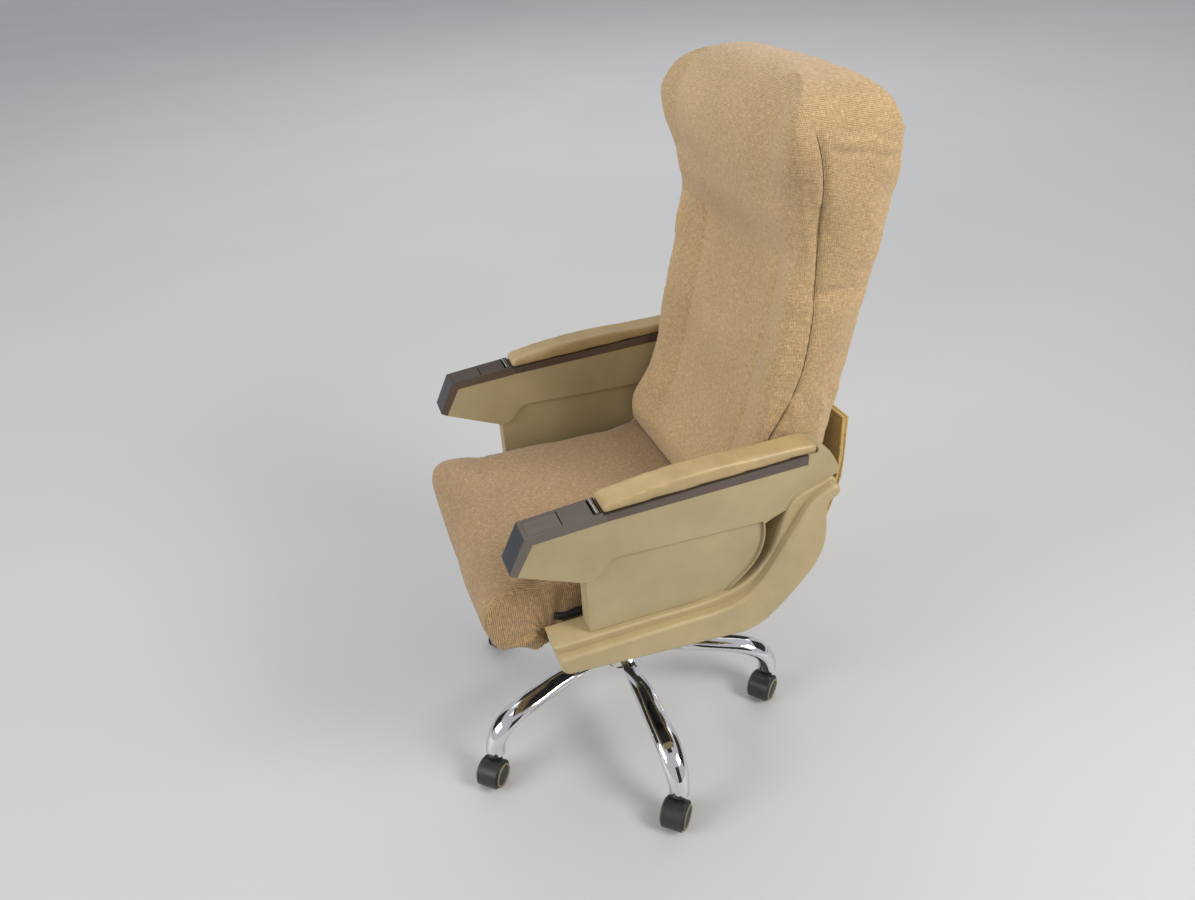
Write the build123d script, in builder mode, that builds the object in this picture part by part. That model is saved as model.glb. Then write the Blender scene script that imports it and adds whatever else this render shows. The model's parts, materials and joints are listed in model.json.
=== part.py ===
from build123d import *
import os
from math import cos, sin, radians

# Swivel armchair made from a reclining passenger seat on a five-star caster base.
# Frame: +Z up, floor at Z = 0, origin on the floor under the swivel axis.
# The sitter faces -Y, and the sitter's left is +X. Millimetres throughout.

os.makedirs("parts", exist_ok=True)

# ---------------------------------------------------------------- driving dimensions
RUN = 0.05                 # radial clearance of a running fit
GAP = 0.5                  # clearance between parts that only lie beside each other

# Casters
WHEEL_R, WHEEL_W = 25.0, 19.5
WHEEL_INNER = 3.6          # inner face of a wheel from the caster's middle
TRAIL = 21.0               # axle behind the stem
AXLE_R, STEM_R = 4.0, 5.5
STEM_FOOT, STEM_TOP = 46.0, 82.0
HOOD_TOP = 59.0
TRAIL_HEADING = [-42.0, -42.0, -52.0, -20.0, -100.0]   # where each caster's axle trails, degrees

# Five-star base
LEG_ANGLES = [-72.4 + 72 * k for k in range(5)]
STEM_CIRCLE_R = 295.0
LEG_FOOT = 60.0
LEG_WALL = 2.0
HUB_R, HUB_BOTTOM, HUB_TOP = 30.0, 114.0, 170.0   # HUB_R: axis to each of its five flats
# along a leg: distance from the axis, height, downward slope in degrees, width, thickness
LEG_STATIONS = [
    (HUB_R, 142, 0, 31, 22),
    (110, 139.5, 2.5, 36, 24),
    (190, 134.5, 6, 42, 27),
    (240, 126.5, 14, 45, 30),
    (272, 111.5, 36, 44, 33),
    (290, 88, 68, 39, 35),
    (STEM_CIRCLE_R, LEG_FOOT, 90, 36, 36),
]
SOCKET_R, SOCKET_FLANGE, SOCKET_LENGTH = 15.4, 6.0, 24.0

# Gas lift
TUBE_R, TUBE_BORE_R = 25.0, 22.5
TUBE_BOTTOM, TUBE_TOP = 100.0, 282.0
CYLINDER_R, CYLINDER_BORE_R = 14.0, 11.0
CYLINDER_BOTTOM, CYLINDER_TOP = 190.0, 402.0
ROD_R, ROD_BOTTOM, ROD_TOP = 5.0, 95.0, 296.0
BEARING_BOTTOM, BEARING_TOP = 104.0, 110.0

# Tilt mechanism
PIVOT_Y, PIVOT_Z, SHAFT_R = -105.0, 398.0, 6.0
HOUSING_X, HOUSING_WALL, HOUSING_BOTTOM = 58.0, 4.0, 372.0
HOUSING_FLOOR = HOUSING_BOTTOM + HOUSING_WALL
KNOB_Y, KNOB_R, KNOB_BOTTOM, KNOB_TOP = -72.0, 25.0, 335.0, 360.0
BOLT_R, BOLT_HEAD_Z, BOLT_HEAD_R = 5.0, 404.0, 13.0
LEVER_Y, LEVER_Z, LEVER_R = -40.0, 385.0, 4.0

# Seat
PLATE_Z, PLATE_T = 426.0, 4.0          # underside and thickness of the seat plate
EAR_X, EAR_T = 60.0, 5.0               # the plate's two pivot ears
CROSS_SIDE, CROSS_Y = 22.0, [-90.0, 110.0]
PAN_TOP, PAN_T = 462.0, 2.5
SEAT_HALF, SEAT_REAR = 219.0, 150.0

# Arms
ARM_IN, ARM_OUT = 223.0, 267.0
ARM_W = ARM_OUT - ARM_IN
STEP_A, STEP_B = 5.0, 20.0             # how far the pod's two steps stand proud of the arm
RECESS = 5.0                           # set-back of the arm's lower field on each face
TOP_SLOPE = 0.089                      # rise of the nose cap's top per millimetre
LID_HINGE_Y, LID_FRONT_Y, LID_INSET = -160.0, -208.0, 5.0
LID_T, LID_GAP, BARREL_R, STUB_R = 3.0, 0.4, 2.0, 1.2
POCKET_L, POCKET_FLOOR = 40.0, 634.0
SLOT_FRONT_Y, SLOT_REAR_Y, SLOT_FLOOR = -113.5, -101.0, 655.0
BAR_W, BAR_FLOOR, BAR_TOP = 7.0, 660.5, 674.0

# Back
BACK_HALF = 219.5
RECLINE_Y, RECLINE_Z = 200.0, 470.0
RECLINE_ARM = 55.0                     # recline pivot down to the strut's pin
PIN_R = 6.0
STRUT_X, STRUT_R, STRUT_ROD_R = -150.0, 11.0, 4.0
LEAN = 11.2                            # slope of the back's rear face from upright, degrees
BACK_FOOT = (0, 266.0, 505.0)          # foot of the rear face
BACK_BASE, BACK_REAR = 505.0, 400.0
CROWN = [(BACK_HALF, 1095), (213, 1138), (191, 1170), (150, 1188), (80, 1199), (0, 1203)]


def save(part, name):
    part.label = name
    export_step(part, f"parts/{name}.step")


def save_pair(part, name):
    """Write the left piece and its mirror image on the right."""
    save(part, f"{name}_left")
    save(mirror(part, about=Plane.YZ), f"{name}_right")


# ---------------------------------------------------------------- caster
# Each piece is made with the stem on the Z axis and the axle trailing along +X.
FENDER_IN, FENDER_OUT = WHEEL_R + 1.0, WHEEL_R + 2.8
FENDER_HALF = WHEEL_INNER + WHEEL_W - 3.5
WEB_HALF = WHEEL_INNER - 0.6
WHEEL_OUTER = WHEEL_INNER + WHEEL_W
AXLE_HALF = WHEEL_OUTER - 5.0
axle_plane = Plane(origin=(TRAIL, 0, WHEEL_R), x_dir=(1, 0, 0), z_dir=(0, -1, 0))

with BuildPart() as hood:
    with BuildSketch(axle_plane):
        Circle(FENDER_OUT)
        with Locations(Location((0, -6, 0), (0, 0, -14))):
            Rectangle(4 * WHEEL_R, 2 * WHEEL_R, align=(Align.CENTER, Align.MAX), mode=Mode.SUBTRACT)
    extrude(amount=FENDER_HALF, both=True)
    fillet(hood.edges().filter_by(GeomType.CIRCLE).group_by(SortBy.RADIUS)[-1], 1.5)
    with BuildSketch(Plane.XY.offset(STEM_FOOT - 4)):
        Circle(10)
    extrude(amount=HOOD_TOP - STEM_FOOT + 4)
    for side in (1, -1):
        with BuildSketch(axle_plane.offset(side * WEB_HALF)):
            Circle(FENDER_IN)
        extrude(amount=side * 2 * WHEEL_W, mode=Mode.SUBTRACT)
    with BuildSketch(axle_plane):
        Circle(11)
    extrude(amount=WEB_HALF, both=True)
    with BuildSketch(axle_plane):
        Circle(AXLE_R)
    extrude(amount=WHEEL_OUTER, both=True, mode=Mode.SUBTRACT)
    with BuildSketch(Plane.XY.offset(STEM_FOOT)):
        Circle(STEM_R)
    extrude(amount=STEM_TOP, mode=Mode.SUBTRACT)

with BuildPart() as pins:
    with BuildSketch(axle_plane):
        Circle(AXLE_R)
    extrude(amount=AXLE_HALF, both=True)
    with BuildSketch(Plane.XY.offset(STEM_FOOT)):
        Circle(STEM_R)
    extrude(amount=STEM_TOP - STEM_FOOT)
    chamfer(pins.faces().sort_by(Axis.Z)[-1].edges(), 1)

with BuildPart() as wheel:
    # half section: X is the distance from the axle, Y the distance from the caster's middle
    with BuildSketch(Plane.XY):
        with BuildLine():
            Polyline(
                (AXLE_R + RUN, WHEEL_INNER), (WHEEL_R - 3, WHEEL_INNER), (WHEEL_R - 0.8, WHEEL_INNER + 2)
            )
            ThreePointArc(
                (WHEEL_R - 0.8, WHEEL_INNER + 2),
                (WHEEL_R, WHEEL_INNER + WHEEL_W / 2),
                (WHEEL_R - 0.8, WHEEL_OUTER - 3),
            )
            Polyline(
                (WHEEL_R - 0.8, WHEEL_OUTER - 3),
                (WHEEL_R - 2.5, WHEEL_OUTER - 1.4),
                (WHEEL_R - 3.5, WHEEL_OUTER - 0.8),
                (WHEEL_R - 6, WHEEL_OUTER - 0.8),
                (WHEEL_R - 6.5, WHEEL_OUTER - 2),
                (WHEEL_R - 7.5, WHEEL_OUTER - 2),
                (WHEEL_R - 8.5, WHEEL_OUTER - 0.5),
            )
            Spline(
                (WHEEL_R - 8.5, WHEEL_OUTER - 0.5), (9, WHEEL_OUTER + 0.8), (0, WHEEL_OUTER + 1.2),
                tangents=((-1, 0.4), (-1, 0)),
            )
            Polyline(
                (0, WHEEL_OUTER + 1.2),
                (0, AXLE_HALF + 1),
                (AXLE_R + RUN, AXLE_HALF + 1),
                (AXLE_R + RUN, WHEEL_INNER),
            )
        make_face()
    revolve(axis=Axis.Y)

wheel_left = Pos(TRAIL, 0, WHEEL_R) * wheel.part
wheel_right = mirror(wheel_left, about=Plane.XZ)

for number, (leg_angle, heading) in enumerate(zip(LEG_ANGLES, TRAIL_HEADING), start=1):
    stem_x = STEM_CIRCLE_R * cos(radians(leg_angle))
    stem_y = STEM_CIRCLE_R * sin(radians(leg_angle))
    place = Pos(stem_x, stem_y, 0) * Rot(0, 0, heading)
    save(place * hood.part, f"caster_hood_{number}")
    save(place * pins.part, f"caster_pins_{number}")
    save(place * wheel_left, f"caster_wheel_left_{number}")
    save(place * wheel_right, f"caster_wheel_right_{number}")

# ---------------------------------------------------------------- five-star base
# The hub is five-sided outside, so each leg ends flat against one of its sides.
with BuildPart() as hub:
    with BuildSketch(Plane.XY.offset(HUB_BOTTOM)):
        RegularPolygon(HUB_R, 5, major_radius=False, rotation=LEG_ANGLES[0] + 36)
        Circle(TUBE_R, mode=Mode.SUBTRACT)
    extrude(amount=HUB_TOP - HUB_BOTTOM)
save(hub.part, "base_hub")


def station_plane(station):
    """The plane square to a leg at one of its stations."""
    distance, height, slope = station[:3]
    return Plane(
        origin=(distance, 0, height),
        x_dir=(0, 1, 0),
        z_dir=(cos(radians(slope)), 0, -sin(radians(slope))),
    )


def leg_skin(inset):
    """The curved face of a leg, or of its bore, lofted through oval sections."""
    with BuildPart() as body:
        for station in LEG_STATIONS:
            with BuildSketch(station_plane(station)):
                Ellipse(station[3] / 2 - inset, station[4] / 2 - inset)
        loft()
    return body.faces().filter_by(GeomType.BSPLINE)[0]


def leg_end(station):
    """The flat ring of tube wall at one end of a leg."""
    with BuildSketch(station_plane(station)) as ring:
        Ellipse(station[3] / 2, station[4] / 2)
        Ellipse(station[3] / 2 - LEG_WALL, station[4] / 2 - LEG_WALL, mode=Mode.SUBTRACT)
    return ring.sketch.faces()[0]


# A tapering bent tube: outer skin, bore and two end rings closed into one solid.
leg = Solid(Shell([leg_skin(0), leg_skin(LEG_WALL), leg_end(LEG_STATIONS[0]), leg_end(LEG_STATIONS[-1])]))

with BuildPart() as socket:
    with BuildSketch(Plane.XY.offset(LEG_FOOT)):
        with Locations((STEM_CIRCLE_R, 0)):
            Circle(SOCKET_R)
    extrude(amount=SOCKET_FLANGE)
    with BuildSketch(Plane.XY.offset(LEG_FOOT + SOCKET_FLANGE)):
        with Locations((STEM_CIRCLE_R, 0)):
            Circle(SOCKET_R - 7)
    extrude(amount=SOCKET_LENGTH - SOCKET_FLANGE)
    with BuildSketch(Plane.XY.offset(LEG_FOOT)):
        with Locations((STEM_CIRCLE_R, 0)):
            Circle(STEM_R + RUN)
    extrude(amount=SOCKET_LENGTH, mode=Mode.SUBTRACT)

for number, leg_angle in enumerate(LEG_ANGLES, start=1):
    save(Rot(0, 0, leg_angle) * leg, f"base_leg_{number}")
save(Compound([Rot(0, 0, leg_angle) * socket.part for leg_angle in LEG_ANGLES]), "caster_sockets")

# ---------------------------------------------------------------- gas lift
with BuildPart() as lift_tube:
    with BuildSketch(Plane.XY.offset(TUBE_BOTTOM)):
        Circle(TUBE_R)
    extrude(amount=TUBE_TOP - TUBE_BOTTOM)
    chamfer(lift_tube.faces().sort_by(Axis.Z)[0].edges(), 2)
    with BuildSketch(Plane.XY.offset(BEARING_BOTTOM)):
        Circle(TUBE_BORE_R)
    extrude(amount=TUBE_TOP, mode=Mode.SUBTRACT)
    with BuildSketch(Plane.XY.offset(TUBE_BOTTOM)):
        Circle(ROD_R + RUN)
    extrude(amount=TUBE_TOP, mode=Mode.SUBTRACT)
save(lift_tube.part, "gas_lift_tube")

BUSH_LENGTH, BUSH_FLANGE_R, BUSH_FLANGE_T = 42.0, 27.0, 4.0
with BuildPart() as bush:
    with BuildSketch(Plane.XY.offset(TUBE_TOP)):
        Circle(BUSH_FLANGE_R)
    extrude(amount=BUSH_FLANGE_T)
    chamfer(bush.faces().sort_by(Axis.Z)[-1].edges(), 1.5)
    with BuildSketch(Plane.XY.offset(TUBE_TOP - BUSH_LENGTH)):
        Circle(TUBE_BORE_R)
    extrude(amount=BUSH_LENGTH)
    with BuildSketch(Plane.XY.offset(TUBE_TOP - BUSH_LENGTH)):
        Circle(CYLINDER_R + RUN)
    extrude(amount=2 * BUSH_LENGTH, mode=Mode.SUBTRACT)
save(bush.part, "gas_lift_bush")

with BuildPart() as bearing:
    with BuildSketch(Plane.XY.offset(BEARING_BOTTOM)):
        Circle(18)
        Circle(ROD_R + RUN, mode=Mode.SUBTRACT)
    extrude(amount=BEARING_TOP - BEARING_BOTTOM)
save(bearing.part, "thrust_bearing")

with BuildPart() as piston_rod:
    with BuildSketch(Plane.XY.offset(ROD_BOTTOM)):
        Circle(ROD_R)
    extrude(amount=ROD_TOP - ROD_BOTTOM)
    with BuildSketch(Plane.XY.offset(BEARING_TOP + RUN)):
        Circle(9)
    extrude(amount=3)
    with BuildSketch(Plane.XY.offset(ROD_TOP - 8)):
        Circle(CYLINDER_BORE_R - RUN)
    extrude(amount=8)
    with BuildSketch(Plane.XY.offset(ROD_BOTTOM + 2)):
        Circle(8.5)
    extrude(amount=1.5)
save(piston_rod.part, "gas_lift_piston_rod")

with BuildPart() as cylinder:
    with BuildSketch(Plane.XY.offset(CYLINDER_BOTTOM)):
        Circle(CYLINDER_R)
    extrude(amount=CYLINDER_TOP - CYLINDER_BOTTOM)
    with BuildSketch(Plane.XY.offset(CYLINDER_BOTTOM + 6)):
        Circle(CYLINDER_BORE_R)
    extrude(amount=CYLINDER_TOP - CYLINDER_BOTTOM - 20, mode=Mode.SUBTRACT)
    with BuildSketch(Plane.XY.offset(CYLINDER_BOTTOM)):
        Circle(ROD_R + RUN)
    extrude(amount=20, mode=Mode.SUBTRACT)
save(cylinder.part, "gas_lift_cylinder")

# ---------------------------------------------------------------- tilt mechanism
with BuildPart() as housing:
    with BuildSketch(Plane.YZ):
        with BuildLine():
            Polyline(
                (-130, HOUSING_BOTTOM),
                (70, HOUSING_BOTTOM),
                (70, 391),
                (PIVOT_Y, 418),
                (-130, 418),
                close=True,
            )
        make_face()
    extrude(amount=HOUSING_X, both=True)
    with BuildSketch(Plane.XY.offset(HOUSING_FLOOR)):
        with Locations((0, -30)):
            Rectangle(2 * (HOUSING_X - HOUSING_WALL), 192)
    extrude(amount=60, mode=Mode.SUBTRACT)
    with BuildSketch(Plane.XY.offset(HOUSING_BOTTOM)):
        Circle(20)
    extrude(amount=CYLINDER_TOP - HOUSING_BOTTOM)
    with BuildSketch(Plane.XY.offset(HOUSING_BOTTOM)):
        Circle(CYLINDER_R)
        with Locations((0, KNOB_Y)):
            Circle(BOLT_R + RUN)
    extrude(amount=60, mode=Mode.SUBTRACT)
    with BuildSketch(Plane.YZ):
        with Locations((PIVOT_Y, PIVOT_Z)):
            Circle(SHAFT_R)
    extrude(amount=HOUSING_X, both=True, mode=Mode.SUBTRACT)
    # upright slot in the right wall, in which the height lever rocks
    with BuildSketch(Plane.YZ.offset(-HOUSING_X)):
        with Locations((LEVER_Y, LEVER_Z)):
            SlotOverall(16, 2 * (LEVER_R + RUN), rotation=90)
    extrude(amount=HOUSING_WALL, mode=Mode.SUBTRACT)
save(housing.part, "mechanism_housing")

EAR_GAP = 1.0
HEAD_T = 3.0
with BuildPart() as shaft:
    with BuildSketch(Plane.YZ):
        with Locations((PIVOT_Y, PIVOT_Z)):
            Circle(SHAFT_R)
    extrude(amount=EAR_X + EAR_T + EAR_GAP, both=True)
    for side in (1, -1):
        with BuildSketch(Plane.YZ.offset(side * (EAR_X + EAR_T + EAR_GAP))):
            with Locations((PIVOT_Y, PIVOT_Z)):
                Circle(SHAFT_R + 3)
        extrude(amount=side * HEAD_T)
save(shaft.part, "tilt_pivot_shaft")

SPRING_R, WIRE_R, SPRING_PITCH = 9.0, 1.6, 5.5
SPRING_FOOT = HOUSING_FLOOR + WIRE_R + 0.4
SPRING_HEIGHT = BOLT_HEAD_Z - SPRING_FOOT - WIRE_R - 0.4
with BuildPart() as spring:
    with BuildLine():
        coil = Helix(SPRING_PITCH, SPRING_HEIGHT, SPRING_R, center=(0, KNOB_Y, SPRING_FOOT))
    with BuildSketch(Plane(origin=coil @ 0, z_dir=coil % 0)):
        Circle(WIRE_R)
    sweep()
save(spring.part, "tilt_spring")

with BuildPart() as knob:
    with BuildSketch(Plane.XY.offset(KNOB_BOTTOM)):
        with Locations((0, KNOB_Y)):
            Circle(KNOB_R)
            with PolarLocations(KNOB_R + 1.5, 10):
                Circle(4, mode=Mode.SUBTRACT)
    extrude(amount=KNOB_TOP - KNOB_BOTTOM)
    chamfer(knob.faces().sort_by(Axis.Z)[0].edges(), 1)
    with BuildSketch(Plane.XY.offset(KNOB_TOP)):
        with Locations((0, KNOB_Y)):
            Circle(BOLT_R)
    extrude(amount=BOLT_HEAD_Z - KNOB_TOP)
    with BuildSketch(Plane.XY.offset(BOLT_HEAD_Z)):
        with Locations((0, KNOB_Y)):
            RegularPolygon(BOLT_HEAD_R, 6)
    extrude(amount=6)
save(knob.part, "tension_knob")

# The lever's rod leaves the housing on the sitter's right and steps down to a flat paddle.
LEVER_IN, LEVER_OUT, LEVER_DROP = -30.0, -238.0, 27.0
PADDLE_L, PADDLE_W, PADDLE_T = 44.0, 24.0, 8.0
with BuildPart() as lever:
    with BuildSketch(Plane.XY.offset(LEVER_Z - LEVER_DROP - PADDLE_T / 2)):
        with Locations((LEVER_OUT, LEVER_Y)):
            RectangleRounded(PADDLE_L, PADDLE_W, 8)
    extrude(amount=PADDLE_T)
    fillet(lever.faces().filter_by(Axis.Z).edges(), 2)
    with BuildLine():
        FilletPolyline(
            (LEVER_IN, LEVER_Y, LEVER_Z),
            (-90, LEVER_Y, LEVER_Z),
            (-135, LEVER_Y, LEVER_Z - LEVER_DROP),
            (LEVER_OUT, LEVER_Y, LEVER_Z - LEVER_DROP),
            radius=20,
        )
    with BuildSketch(Plane(origin=(LEVER_IN, LEVER_Y, LEVER_Z), z_dir=(-1, 0, 0))):
        Circle(LEVER_R)
    sweep()
save(lever.part, "height_lever")

# ---------------------------------------------------------------- seat structure
with BuildPart() as plate:
    with BuildSketch(Plane.XY.offset(PLATE_Z)):
        with Locations((0, -7.5)):
            RectangleRounded(150, 265, 12)
    extrude(amount=PLATE_T)
    for side in (1, -1):
        with BuildSketch(Plane.YZ.offset(side * EAR_X)):
            with BuildLine():
                Polyline(
                    (PIVOT_Y - 28, PLATE_Z),
                    (PIVOT_Y - 13, PIVOT_Z),
                    (PIVOT_Y + 13, PIVOT_Z),
                    (PIVOT_Y + 28, PLATE_Z),
                    close=True,
                )
            make_face()
            with Locations((PIVOT_Y, PIVOT_Z)):
                Circle(13)
                Circle(SHAFT_R + RUN, mode=Mode.SUBTRACT)
        extrude(amount=side * EAR_T)
save(plate.part, "seat_plate")

CROSS_Z = PLATE_Z + PLATE_T
with BuildPart() as cross_tubes:
    with BuildSketch(Plane.YZ):
        with Locations(*[(y, CROSS_Z + CROSS_SIDE / 2) for y in CROSS_Y]):
            RectangleRounded(CROSS_SIDE, CROSS_SIDE, 3)
            RectangleRounded(CROSS_SIDE - 4, CROSS_SIDE - 4, 1.5, mode=Mode.SUBTRACT)
    extrude(amount=ARM_IN, both=True)
save(cross_tubes.part, "seat_cross_tubes")

PAN_HALF, PAN_FRONT, PAN_REAR = 215.0, -176.0, 148.0
PAN_BOTTOM = CROSS_Z + CROSS_SIDE
with BuildPart() as pan:
    with BuildSketch(Plane.XY.offset(PAN_BOTTOM)):
        with Locations((0, (PAN_FRONT + PAN_REAR) / 2)):
            RectangleRounded(2 * PAN_HALF, PAN_REAR - PAN_FRONT, 20)
    extrude(amount=PAN_TOP - PAN_BOTTOM)
    fillet(pan.faces().sort_by(Axis.Z)[-1].edges(), 2)
    offset(amount=-PAN_T, openings=pan.faces().sort_by(Axis.Z)[0])
save(pan.part, "seat_pan")

with BuildPart() as seat_cushion:
    with BuildSketch(Plane.YZ):
        with BuildLine():
            Polyline(
                (SEAT_REAR, PAN_TOP + GAP),
                (SEAT_REAR, 507),
                (-235, 522),
            )
            Spline(
                (-235, 522),
                (-277, 513),
                (-291, 480),
                (-272, 424),
                (-248, 410),
                tangents=((-1, 0.04), (1, -0.3)),
            )
            Polyline(
                (-248, 410),
                (-200, 409),
                (-184, 440),
                (-180, PAN_TOP + GAP),
                (SEAT_REAR, PAN_TOP + GAP),
            )
        make_face()
    extrude(amount=SEAT_HALF, both=True)
save(seat_cushion.part, "seat_cushion")

# ---------------------------------------------------------------- arms (left arm; the right mirrors it)
NOSE_TOP_Y, NOSE_TOP_Z = -215.0, 662.0
STRIP_FRONT, STRIP_REAR = -96.0, 221.0
PAD_FRONT, PAD_REAR = -100.0, 236.0
NOTCH_Y, NOTCH_Z = -131.0, 557.0
FIELD_BOTTOM_Z = 457.0


def nose_top(y):
    """Height of the nose cap's sloping top at y."""
    return NOSE_TOP_Z + TOP_SLOPE * (y - NOSE_TOP_Y)


def panel_outline():
    """The full side outline of the arm panel, also cut out of the pod below it."""
    with BuildSketch(Plane.YZ.offset(ARM_IN)) as outline:
        with BuildLine():
            Polyline(
                (NOTCH_Y, FIELD_BOTTOM_Z),
                (NOTCH_Y, NOTCH_Z),
                (-231, 601),
                (-204, 650),
                (STRIP_FRONT, 657),
                (STRIP_REAR, 666),
                (STRIP_REAR, 682),
                (PAD_REAR, 683),
                (PAD_REAR + 1, 690),
            )
            Spline((PAD_REAR + 1, 690), (262, 672), (274, 638), tangents=((1, 0.1), (-0.1, -1)))
            Spline((274, 638), (245, 617), (206, 598), (154, 578), tangents=((-1, -0.1), (-1, -0.6)))
            Spline(
                (154, 578), (155, 545), (138, 505), (100, 470), (60, 459), tangents=((0.2, -1), (-1, -0.1))
            )
            Line((60, 459), (NOTCH_Y, FIELD_BOTTOM_Z))
        make_face()
    return outline.sketch


def field_outline(face_x):
    """The lower field, set back from both faces, with an S-shaped front upper edge."""
    with BuildSketch(Plane.YZ.offset(face_x)) as outline:
        with BuildLine():
            Polyline((NOTCH_Y - 1, FIELD_BOTTOM_Z - 2), (NOTCH_Y - 1, NOTCH_Z + 1))
            Spline((NOTCH_Y - 1, NOTCH_Z + 1), (-106, 572), (-95, 586), (-74, 590), tangents=((1, 0), (1, 0)))
            Line((-74, 590), (151, 583))
            Spline((151, 583), (153, 545), (136, 506), (99, 471), (60, 455), tangents=((0.2, -1), (-1, -0.1)))
            Line((60, 455), (NOTCH_Y - 1, FIELD_BOTTOM_Z - 2))
        make_face()
    return outline.sketch


# The nose cap: a metal elbow over the arm's front, with a slot for the bar and a bed for the lid.
with BuildPart() as nose_cap:
    with BuildSketch(Plane.YZ.offset(ARM_IN - 0.3)):
        with BuildLine():
            Polyline(
                (NOSE_TOP_Y, NOSE_TOP_Z),
                (-242, 608),
                (-231, 601),
                (-204, 650),
                (STRIP_FRONT, 657),
                (STRIP_FRONT, 669),
                (SLOT_REAR_Y, 669),
                (SLOT_REAR_Y, nose_top(SLOT_REAR_Y)),
                close=True,
            )
        make_face()
    extrude(amount=ARM_W + 0.6)
    fillet(nose_cap.edges().filter_by(Axis.X).group_by(Axis.Y)[0], 2)
    with BuildSketch(Plane.YZ.offset(ARM_IN + 3)):
        with Locations(((SLOT_FRONT_Y + SLOT_REAR_Y) / 2, SLOT_FLOOR)):
            Rectangle(SLOT_REAR_Y - SLOT_FRONT_Y, 40, align=(Align.CENTER, Align.MIN))
    extrude(amount=ARM_W - 6, mode=Mode.SUBTRACT)

    # the ashtray's pocket, the shallow bed of its lid and the holes of the lid's two stub pins
    with BuildSketch(Plane.YZ.offset(ARM_IN + LID_INSET + 3)):
        with Locations(((LID_FRONT_Y + LID_HINGE_Y) / 2, POCKET_FLOOR)):
            Rectangle(POCKET_L, 60, align=(Align.CENTER, Align.MIN))
    extrude(amount=ARM_W - 2 * LID_INSET - 6, mode=Mode.SUBTRACT)
    with BuildSketch(Plane.YZ.offset(ARM_IN + LID_INSET)):
        with BuildLine():
            Polyline(
                (LID_FRONT_Y - LID_GAP, nose_top(LID_FRONT_Y) + 5),
                (LID_FRONT_Y - LID_GAP, nose_top(LID_FRONT_Y) - LID_T),
                (LID_HINGE_Y - 4, nose_top(LID_HINGE_Y) - LID_T),
                (LID_HINGE_Y - 4, nose_top(LID_HINGE_Y) - 2 * LID_T),
                (LID_HINGE_Y + BARREL_R + LID_GAP, nose_top(LID_HINGE_Y) - 2 * LID_T),
                (LID_HINGE_Y + BARREL_R + LID_GAP, nose_top(LID_HINGE_Y) + 5),
                close=True,
            )
        make_face()
    extrude(amount=ARM_W - 2 * LID_INSET, mode=Mode.SUBTRACT)
    with BuildSketch(Plane.YZ.offset(ARM_IN + LID_INSET - 2)):
        with Locations((LID_HINGE_Y, nose_top(LID_HINGE_Y) - BARREL_R)):
            Circle(STUB_R + RUN)
    extrude(amount=ARM_W - 2 * LID_INSET + 4, mode=Mode.SUBTRACT)
save_pair(nose_cap.part, "nose_cap")

with BuildPart() as lid:
    with BuildSketch(Plane.YZ.offset(ARM_IN + LID_INSET + LID_GAP)):
        with BuildLine():
            Polyline(
                (LID_FRONT_Y, nose_top(LID_FRONT_Y)),
                (LID_FRONT_Y, nose_top(LID_FRONT_Y) - LID_T + LID_GAP),
                (LID_HINGE_Y, nose_top(LID_HINGE_Y) - LID_T + LID_GAP),
                (LID_HINGE_Y, nose_top(LID_HINGE_Y)),
                close=True,
            )
        make_face()
        with Locations((LID_HINGE_Y, nose_top(LID_HINGE_Y) - BARREL_R)):
            Circle(BARREL_R)
    extrude(amount=ARM_W - 2 * LID_INSET - 2 * LID_GAP)
    with BuildSketch(Plane.YZ.offset(ARM_IN + LID_INSET - 1.5)):
        with Locations((LID_HINGE_Y, nose_top(LID_HINGE_Y) - BARREL_R)):
            Circle(STUB_R)
    extrude(amount=ARM_W - 2 * LID_INSET + 3)
save_pair(lid.part, "ashtray_lid")

with BuildPart() as bar:
    with BuildSketch(Plane.YZ.offset(ARM_IN + 3 + GAP)):
        with Locations(((SLOT_FRONT_Y + SLOT_REAR_Y) / 2, BAR_FLOOR)):
            Rectangle(BAR_W, BAR_TOP - BAR_FLOOR, align=(Align.CENTER, Align.MIN))
    extrude(amount=ARM_W - 6 - 2 * GAP)
    fillet(bar.faces().sort_by(Axis.Z)[-1].edges().filter_by(Axis.X), 2.8)
save_pair(bar.part, "recline_bar")

# The two dark strips lie full width between the arm panels and the pads.
with BuildPart() as strip:
    with BuildSketch(Plane.YZ.offset(ARM_IN - 0.3)):
        with BuildLine():
            Polyline((STRIP_FRONT, 657), (STRIP_REAR, 666), (STRIP_REAR, 682), (STRIP_FRONT, 669), close=True)
        make_face()
    extrude(amount=ARM_W + 0.6)
save(Compound([strip.part, mirror(strip.part, about=Plane.YZ)]), "arm_trim_strips")

with BuildPart() as pad:
    with BuildSketch(Plane.YZ.offset(ARM_IN + 0.5)):
        with BuildLine():
            Polyline(
                (PAD_REAR, 695),
                (PAD_REAR, 683.2),
                (STRIP_REAR, 682.2),
                (STRIP_FRONT, 669.2),
                (PAD_FRONT, 669.6),
                (PAD_FRONT + 1, 678),
            )
            Spline(
                (PAD_FRONT + 1, 678), (-88, 684.5), (190, 698), (PAD_REAR, 695),
                tangents=((0.3, 1), (1, -0.15)),
            )
        make_face()
    extrude(amount=ARM_W - 1)
save_pair(pad.part, "armrest_pad")

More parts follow.
